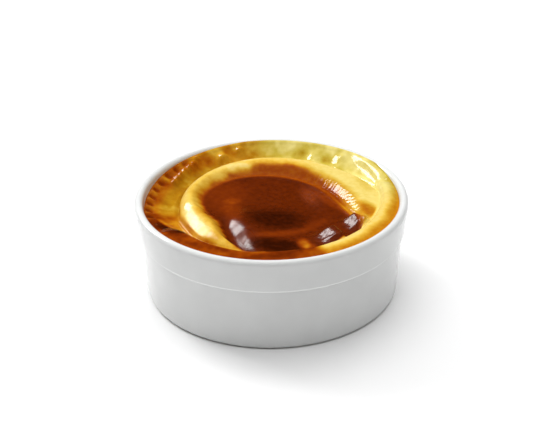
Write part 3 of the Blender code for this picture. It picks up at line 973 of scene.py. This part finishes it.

# %% [markdown]
# ## Pudding: patches, and the whole browning
# What no rule explains, such as where a hot spot or a thin place was, is added as soft
# patches. A few patches are painted light and shade instead, each marked in the list: a
# painted sheen, a painted highlight and a painted shade. They could be brushed on by
# hand. As a list, each has a name and can be moved or dropped on its own. The roll of
# skin along the front and right lies over everything, so it comes last: it is pale, and
# browner only on the wall's side.

# %% Patches and the whole browning
# Each patch: centre, half sizes, turn in degrees, and how much browner it gets.
PATCHES = {
    "dark middle": ((2, -11), (15, 11), 0, 0.12),
    "dark front": ((2, -35), (13, 7), 0, 0.14),
    "light streak": ((4, -24), (16, 3.0), 18, -0.12),
    "light streak right": ((19, -15), (9, 3.0), 42, -0.08),
    "light left": ((-17, -6), (5, 11), 10, -0.10),
    "golden left": ((-17, 5), (5, 3), 20, -0.10),
    "golden inner ring": ((-26, -16), (4, 14), 28, 0.14),
    "left of the pool": ((-21, 9), (12, 17), -10, -0.08),
    "slope orange": ((31, 11), (4.5, 14), 32, 0.10),
    "slope glow": ((25.5, 6), (3.0, 13), 32, -0.13),
    "front-left tip": ((-25, -31), (6, 5), 40, 0.15),
    "golden front": ((13.5, -33), (3.0, 5.5), 10, -0.36),
    # Partly the gold spot's own colour, partly a painted highlight at its far end.
    "golden front end": ((16.0, -35.5), (3.0, 3.0), 0, -0.16),
    "amber by the roll": ((42, -9), (4.5, 9), 20, 0.34),
    "amber slope": ((35.5, -6), (4, 10), 28, -0.22),
    # Painted shade: browner in a shallow valley of the plateau, where shade falls.
    "plateau valley shade": ((42, 15), (3, 9), 20, 0.10),
    "orange back wall": ((-17, 51), (9, 2.6), 20, 0.10),
    "dark left wall": ((-51, -8), (4, 4), 0, 0.14),
    "dark beside back fold": ((14, 48), (4, 4), 0, 0.14),
    "dark beside side fold": ((26, 43), (3, 4), 0, 0.16),
    "strip dark": ((-42.5, -21.5), (4.5, 12), 38, 0.16),
    "trench front left": ((-45, -9), (5, 5), 0, 0.12),
    "strip amber": ((-35, -30), (4, 6), 45, -0.16),
    "pale back wall": ((4, 54), (16, 4), 0, -0.12),
    "pale inner ring": ((-14, 32), (8, 4), 12, -0.17),
    # Painted sheen: a paler place that stands in for soft light glancing off the pool.
    "pool right": ((17, 11), (4, 9), 15, -0.12),
}
BAND_EDGE = (-0.8, 0.8)  # distances over which the cushion turns into the band
BACK_WIDER, BACK_ARC, ELSEWHERE = 1.6, (30, 130, 40), -0.6  # how that edge is moved
ROLL_BROWN, ROLL_SIDE, ROLL_ARC = 0.05, 0.35, (295, 398, 8)
ROLL_START, ROLL_EDGE, ROLL_RAGGED = (-0.3, 0.8), (3.5, 9.0), ((0.8, 6.0, 26),)


def browning(x, y):
    """0 for pale custard skin, 1 for nearly burnt."""
    around = direction(x, y)
    moved = BACK_WIDER * between(around, *BACK_ARC) + ELSEWHERE
    in_band = 1.0 - ramp(cushion_inside(x, y) + moved, *BAND_EDGE)
    brown = cushion_browning(x, y) * (1.0 - in_band) + band_browning(x, y) * in_band
    brown = with_strip(brown, in_band, x, y) + patches(x, y, PATCHES)
    roll = between(around, *ROLL_ARC) * ramp(-inside(FOLD_FOOT, x, y), *ROLL_START)
    from_foot = np.hypot(x, y) - radius_on(FOLD_FOOT, around)
    side = ramp(from_foot + wander(x, y, ROLL_RAGGED), *ROLL_EDGE)
    brown = brown * (1.0 - roll) + (ROLL_BROWN + ROLL_SIDE * side) * roll
    return np.clip(brown, 0.0, 1.0)


print(f"{len(PATCHES)} soft patches are laid over the rules for browning")

# %% [markdown]
# ## Pudding: thin, wet and dry skin
# Over the trench the skin stayed thin and wet, so greenish custard shows through it
# and it shines. Where it puffed and wrinkled it baked dry, and its highlights are
# broad and dull. Both could be worked out from the height alone, but wet and dry
# places do not follow the folds exactly. So each is a rule of its own.

# %% Thin and dry skin
DEEP_EDGE, DEEP_ARC = (5.0, 9.5), (118, 186, 18)
ON_RING = (-0.5, 1.5)  # distances inside the cushion's edge over which it begins
# How thin the skin is: amounts and the directions in which each holds.
THIN = ((0.12, (8, 130, 30)), (0.80, (2, 97, 26)))
THIN_DEEP, THIN_PLATEAU = 0.60, 0.5
PLATEAU_ARC, PLATEAU_EDGE = (-8, 62, 24), (6.0, 11.0)


def olive(x, y):
    """How greenish the thin, wet skin over the trench looks."""
    around = direction(x, y)
    from_wall = wall_radius(around) - np.hypot(x, y)
    thin = sum(amount * between(around, *arc) for amount, arc in THIN)
    thin = thin + THIN_DEEP * ramp(from_wall, *DEEP_EDGE) * between(around, *DEEP_ARC)
    on_ring = ramp(inside(CUSHION_EDGE, x, y), *ON_RING)
    plateau = between(around, *PLATEAU_ARC) * ramp(-inside(POOL_EDGE, x, y), *PLATEAU_EDGE)
    return thin * (1.0 - on_ring) + THIN_PLATEAU * plateau * on_ring


WET_ROUGHNESS, RING_ROUGHNESS = 0.09, 0.16
PLATEAU_WET = 0.4  # share of the cushion's dryness that its plateau lacks
# Dry places: centre, half sizes, turn in degrees, and how much rougher each is.
DRY_SKIN = {
    "mound": ((-11, -28), (7, 15), 22, 0.12),
    "left flank": ((-32.5, -17), (4, 15), 26, 0.06),
    "left flank front": ((-27.5, -26), (4, 7), 36, 0.14),
    "front right": ((25, -29), (9, 12), 0, 0.07),
    "right": ((35, -15), (5, 9), 15, 0.10),
    "pool right": ((18, 9), (6, 14), 15, 0.16),
}


def roughness(x, y):
    """Thin wet skin is glossy; wrinkled places have baked dry."""
    on_ring = ramp(inside(CUSHION_EDGE, x, y), *ON_RING)
    dry = on_ring * (1.0 - PLATEAU_WET * between(direction(x, y), *PLATEAU_ARC))
    rough = WET_ROUGHNESS + (RING_ROUGHNESS - WET_ROUGHNESS) * dry
    return rough + patches(x, y, DRY_SKIN)


print(f"roughness: {WET_ROUGHNESS} on wet skin, {RING_ROUGHNESS} and more on the cushion")

# %% [markdown]
# ## Pudding: its points
# The skin is a round grid, and rings of points follow the edge of the pool, so that
# they lie densest where the folds are. A square grid with displacement would need far
# more faces for the same creases. Under the skin the pudding goes down the wall and
# over the floor of the dish, a little into the china, so that no gap shows.

# %% Pudding points
SKIN_SEGMENTS = 580
POOL_ROWS, OUTER_ROWS, SIDE_ROWS, BASE_ROWS = 60, 92, 8, 4
POOL_SHARE, POOL_LIMIT = 0.9, 40.0  # the denser rings start here, inside the pool's edge
FLOOR_REACH = 0.2  # how far the food goes into the dish's floor


def skin_rings():
    """Rings of points on the skin, closer together outside the pool."""
    degrees = np.arange(SKIN_SEGMENTS) * 360.0 / SKIN_SEGMENTS
    pool = np.minimum(radius_on(POOL_EDGE, degrees), POOL_LIMIT) * POOL_SHARE
    edge = wall_radius(degrees)
    inner = [pool * i / POOL_ROWS for i in range(1, POOL_ROWS + 1)]
    outer = [pool + (edge - pool) * i / OUTER_ROWS for i in range(1, OUTER_ROWS + 1)]
    radii = np.array(inner + outer)
    x, y = radii * np.cos(np.radians(degrees)), radii * np.sin(np.radians(degrees))
    z = dish_height + skin_height(x.ravel(), y.ravel()).reshape(x.shape)
    return degrees, np.stack([x, y, z], 2)


def hidden_rings(degrees):
    """Rings down the dish's wall and over its floor, a little inside the china."""
    top = dish_height + wall_line(degrees)
    floor = FLOOR_HEIGHT - FLOOR_REACH
    rings = []
    for i in range(1, SIDE_ROWS + 1):
        z = top + (floor - top) * math.sin(math.pi / 2.0 * i / SIDE_ROWS)
        rings.append((inner_wall_radius(z) + WALL_REACH, z))
    flat = inner_wall_radius(np.full_like(degrees, floor)) + WALL_REACH
    for i in range(1, BASE_ROWS):
        rings.append((flat * (1.0 - i / BASE_ROWS), np.full_like(degrees, floor)))
    angle = np.radians(degrees)
    return np.array([np.stack([r * np.cos(angle), r * np.sin(angle), z], 1) for r, z in rings])


points_made = SKIN_SEGMENTS * (POOL_ROWS + OUTER_ROWS + SIDE_ROWS + BASE_ROWS - 1)
print(f"{points_made} points in rings of {SKIN_SEGMENTS}")

# %% [markdown]
# ## Pudding: its mesh
# Quads join ring to ring, and a fan closes the middle of the skin and of the base, so
# the pudding is a closed solid. The browning and the other rules are worked out once
# for each point of the skin and stored with the mesh, where the material reads them.

# %% Pudding mesh
# What is stored on the points: a name, its rule, and its value below the skin.
STORED = (("browning", browning, 0.1), ("olive", olive, 0.0), ("roughness", roughness, 0.2))


def build_pudding():
    """The closed mesh of the pudding, with its browning and gloss stored on it."""
    degrees, skin = skin_rings()
    rings = np.concatenate([skin, hidden_rings(degrees)])
    rows, count = rings.shape[:2]
    poles = np.array([[0.0, 0.0, dish_height + middle_height],
                      [0.0, 0.0, FLOOR_HEIGHT - FLOOR_REACH]])
    points = np.concatenate([poles, rings.reshape(-1, 3)])
    turn = [(i, (i + 1) % count) for i in range(count)]
    faces = [(0, 2 + i, 2 + j) for i, j in turn]
    for row in range(rows - 1):
        a = 2 + row * count
        faces += [(a + i, a + count + i, a + count + j, a + j) for i, j in turn]
    last = 2 + (rows - 1) * count
    faces += [(1, last + j, last + i) for i, j in turn]
    mesh = bpy.data.meshes.new("pudding")
    mesh.from_pydata((points * MM).tolist(), [], faces)
    mesh.shade_smooth()
    on_skin = np.zeros(len(points), bool)
    on_skin[0] = True
    on_skin[2:2 + len(skin) * count] = True
    for name, rule, hidden in STORED:
        values = np.full(len(points), hidden)
        values[on_skin] = rule(points[on_skin, 0], points[on_skin, 1])
        mesh.attributes.new(name, "FLOAT", "POINT").data.foreach_set("value", values)
    return mesh


pudding = link_object("pudding_skin", build_pudding())
print(f"pudding: {len(pudding.data.polygons)} faces")

# %% [markdown]
# ## Materials: shared effects
# Two effects are used by more than one material: a mask that wanders between 0 and 1,
# and fine unevenness of a surface. Each is a small node group with named inputs in
# millimetres. The groups give only a mask or a normal; the shader itself stays in
# each material, where its settings are easy to find.

# %% Shared node groups
def node_group(name, inputs, outputs):
    """An empty shader group; inputs and outputs are {name: (type, default)}."""
    group = bpy.data.node_groups.new(name, "ShaderNodeTree")
    for label, (kind, default) in inputs.items():
        item = group.interface.new_socket(label, in_out="INPUT", socket_type="NodeSocket" + kind)
        if default is not None:
            item.default_value = default
    for label, (kind, _) in outputs.items():
        group.interface.new_socket(label, in_out="OUTPUT", socket_type="NodeSocket" + kind)
    return group, group.nodes.new("NodeGroupInput"), group.nodes.new("NodeGroupOutput")


def mottle_group():
    """A mask that wanders from 0 to 1, with blotches of a given size in millimetres."""
    group, given, result = node_group(
        "mottle", {"Size": ("Float", 3.0), "Detail": ("Float", 3.0)}, {"Mask": ("Float", None)})
    place = add_node(group, "ShaderNodeTexCoord")
    noise = add_node(group, "ShaderNodeTexNoise")
    link = group.links.new
    link(math_node(group, "DIVIDE", 1.0 / MM, given.outputs["Size"]), noise.inputs["Scale"])
    link(place.outputs["Object"], noise.inputs["Vector"])
    link(given.outputs["Detail"], noise.inputs["Detail"])
    link(noise.outputs["Fac"], result.inputs["Mask"])
    return group


def unevenness_group(mottle):
    """A normal for a surface that rises and falls by a depth in millimetres."""
    group, given, result = node_group(
        "unevenness",
        {"Size": ("Float", 3.0), "Depth": ("Float", 0.1), "Normal": ("Vector", None)},
        {"Normal": ("Vector", None)})
    mask = add_node(group, "ShaderNodeGroup", {"node_tree": mottle})
    bump = add_node(group, "ShaderNodeBump")
    link = group.links.new
    link(given.outputs["Size"], mask.inputs["Size"])
    link(math_node(group, "MULTIPLY", given.outputs["Depth"], MM), bump.inputs["Distance"])
    link(mask.outputs["Mask"], bump.inputs["Height"])
    link(given.outputs["Normal"], bump.inputs["Normal"])
    link(bump.outputs["Normal"], result.inputs["Normal"])
    return group


MOTTLE = mottle_group()
UNEVENNESS = unevenness_group(MOTTLE)


print(f"node groups: {MOTTLE.name} and {UNEVENNESS.name}")

# %% [markdown]
# ## Materials: helpers
# Colours are easiest to think of as the three values of a colour picker, while a
# shader wants them linear, so one helper turns one into the other. The rest save a few
# lines each time: a new material, a placed group, a mix and a ramp of colours.

# %% Material helpers
def use_group(tree, group, **values):
    return add_node(tree, "ShaderNodeGroup", {"node_tree": group}, values)


def mix_colours(tree, share, first, second):
    """The socket of a mix; each colour is three values from 0 to 255, or a socket."""
    node = add_node(tree, "ShaderNodeMix", {"data_type": "RGBA"})
    tree.links.new(share, node.inputs["Factor"])
    for name, colour in (("A", first), ("B", second)):
        if isinstance(colour, tuple):
            node.inputs[name].default_value = linear(colour)
        else:
            tree.links.new(colour, node.inputs[name])
    return node.outputs["Result"]


def new_material(name, plain_roughness):
    surface = bpy.data.materials.new(name)
    surface.use_nodes = True
    shader = surface.node_tree.nodes["Principled BSDF"]
    shader.inputs["Roughness"].default_value = plain_roughness
    return surface, shader


def linear(colour):
    """From the 0-255 values of a colour picker to the linear values of a shader."""
    share = [c / 255.0 for c in colour]
    return tuple(((c + 0.055) / 1.055) ** 2.4 if c > 0.04 else c / 12.92 for c in share) + (1.0,)


def colour_ramp(tree, stops, place):
    """The socket of a ramp that is read at a place from 0 to 1."""
    node = add_node(tree, "ShaderNodeValToRGB")
    band = node.color_ramp
    while len(band.elements) < len(stops):
        band.elements.new(0.5)
    for element, (position, colour) in zip(band.elements, stops):
        element.position = position
        element.color = linear(colour)
    tree.links.new(place, node.inputs["Fac"])
    return node.outputs["Color"]


print(f"mid grey, 128, is {linear((128, 128, 128))[0]:.3f} in a shader")

# %% [markdown]
# ## Material: baked skin
# Baked milk skin runs from custard cream through gold, amber and red-brown to nearly
# black, and where it is thin and wet over the trench it turns olive. Scans of
# skin, painted masks or a colour ramp could carry this. A ramp was picked: its stops
# are the stages of browning, and the value stored on the mesh picks one, with small
# blotches added. A second ramp holds the greenish stages. The gloss comes from how
# dry the skin has baked.

# %% Baked skin material
BAKED = ((0.00, (240, 214, 130)), (0.12, (232, 193, 80)), (0.25, (212, 160, 44)),
         (0.38, (194, 127, 17)), (0.50, (172, 92, 8)), (0.62, (148, 63, 2)),
         (0.74, (122, 45, 2)), (0.87, (92, 30, 1)), (1.00, (50, 13, 0)))
OLIVE = ((0.00, (238, 224, 142)), (0.25, (200, 181, 72)), (0.42, (170, 134, 20)),
         (0.60, (154, 112, 12)), (1.00, (106, 48, 3)))
BLOTCH_DEPTH = 0.09  # how much browner or paler the small blotches are
SKIN_ROUGHNESS = 0.2  # where the mesh stores no other


def skin_material():
    surface, shader = new_material("baked_skin", SKIN_ROUGHNESS)
    tree = surface.node_tree
    link = tree.links.new
    brown, thin, rough = (
        add_node(tree, "ShaderNodeAttribute", {"attribute_name": name}).outputs["Fac"]
        for name, _, _ in STORED)
    spread = add_node(tree, "ShaderNodeMapRange",
                      values={"To Min": -BLOTCH_DEPTH, "To Max": BLOTCH_DEPTH})
    blotches = use_group(tree, MOTTLE, Size=2.2, Detail=4.0)
    link(blotches.outputs["Mask"], spread.inputs["Value"])
    total = math_node(tree, "ADD", brown, spread.outputs["Result"])
    dry, wet = colour_ramp(tree, BAKED, total), colour_ramp(tree, OLIVE, total)
    link(mix_colours(tree, thin, dry, wet), shader.inputs["Base Color"])
    link(rough, shader.inputs["Roughness"])
    ripple = use_group(tree, UNEVENNESS, Size=1.4, Depth=0.045)
    pores = use_group(tree, UNEVENNESS, Size=0.35, Depth=0.008)
    link(ripple.outputs["Normal"], pores.inputs["Normal"])
    link(pores.outputs["Normal"], shader.inputs["Normal"])
    return surface


pudding.data.materials.append(skin_material())
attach(pudding, "root")
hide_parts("pudding")
print(f"skin: {len(BAKED)} stages of browning and {len(OLIVE)} of thin skin")

# %% [markdown]
# ## Material: glazed china
# Glaze is clear glass over white clay: smooth, slightly uneven where it ran, and
# never quite one tone. A plain white would look like plastic. Broad, faint changes of
# tone and a very shallow wave in the normal are enough, because the eye reads the
# china mostly from its reflections. The collar's lower edge is painted whiter: a
# painted highlight, where that rounded edge catches light bounced up from the floor.
# The foot ring is wiped before firing, so the lowest half millimetre is bare, matt
# clay; its height above the table picks it out.

# %% Glazed china material
GLAZE_TONES = ((0.3, (224, 225, 224)), (0.7, (229, 230, 229)))
GLAZE_ROUGHNESS = 0.12
CLAY_COLOUR, CLAY_ROUGHNESS = (214, 208, 196), 0.75
GLAZE_STARTS, GLAZE_FULL = 0.2, 0.6  # heights above the table
# Painted highlight: the colour and reach of a whiter band on the collar's lower edge, where it
# catches light from the floor.
PAINTED_EDGE_HIGHLIGHT, EDGE_HIGHLIGHT_REACH = (246, 247, 246), 0.5  # on the collar's lower edge


def glaze_material():
    surface, shader = new_material("white_china_glaze", GLAZE_ROUGHNESS)
    tree = surface.node_tree
    link = tree.links.new
    place = add_node(tree, "ShaderNodeTexCoord")
    split = add_node(tree, "ShaderNodeSeparateXYZ")
    link(place.outputs["Object"], split.inputs["Vector"])
    height = split.outputs["Z"]
    glazed = add_node(tree, "ShaderNodeMapRange",
                      values={"From Min": GLAZE_STARTS * MM, "From Max": GLAZE_FULL * MM})
    link(height, glazed.inputs["Value"])
    rough = add_node(tree, "ShaderNodeMapRange",
                     values={"To Min": CLAY_ROUGHNESS, "To Max": GLAZE_ROUGHNESS})
    link(glazed.outputs["Result"], rough.inputs["Value"])
    # A painted highlight: a thin band at the collar's lower edge is mixed whiter over the glaze
    # tones, where that edge catches light from the floor.
    edge_highlight_height = (dish_height - COLLAR_HEIGHT + EDGE_HIGHLIGHT_REACH) * MM
    edge = math_node(tree, "COMPARE", height, edge_highlight_height, EDGE_HIGHLIGHT_REACH * MM)
    mask = use_group(tree, MOTTLE, Size=14.0, Detail=2.0)
    tones = colour_ramp(tree, GLAZE_TONES, mask.outputs["Mask"])
    thick = mix_colours(tree, edge, tones, PAINTED_EDGE_HIGHLIGHT)
    colour = mix_colours(tree, glazed.outputs["Result"], CLAY_COLOUR, thick)
    wave = use_group(tree, UNEVENNESS, Size=12.0, Depth=0.05)
    link(colour, shader.inputs["Base Color"])
    link(rough.outputs["Result"], shader.inputs["Roughness"])
    link(wave.outputs["Normal"], shader.inputs["Normal"])
    return surface


dish = turned_piece("ramekin_body", outline, DISH_SIDES, glaze_material())
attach(dish, "root")
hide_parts("ramekin")
print(f"dish: {len(dish.data.polygons)} faces")

# %% [markdown]
# ## Finish
# The faces of the pudding and of the dish are counted together and printed.

# %% Finish
print(f"{len(pudding.data.polygons) + len(dish.data.polygons)} faces in all")
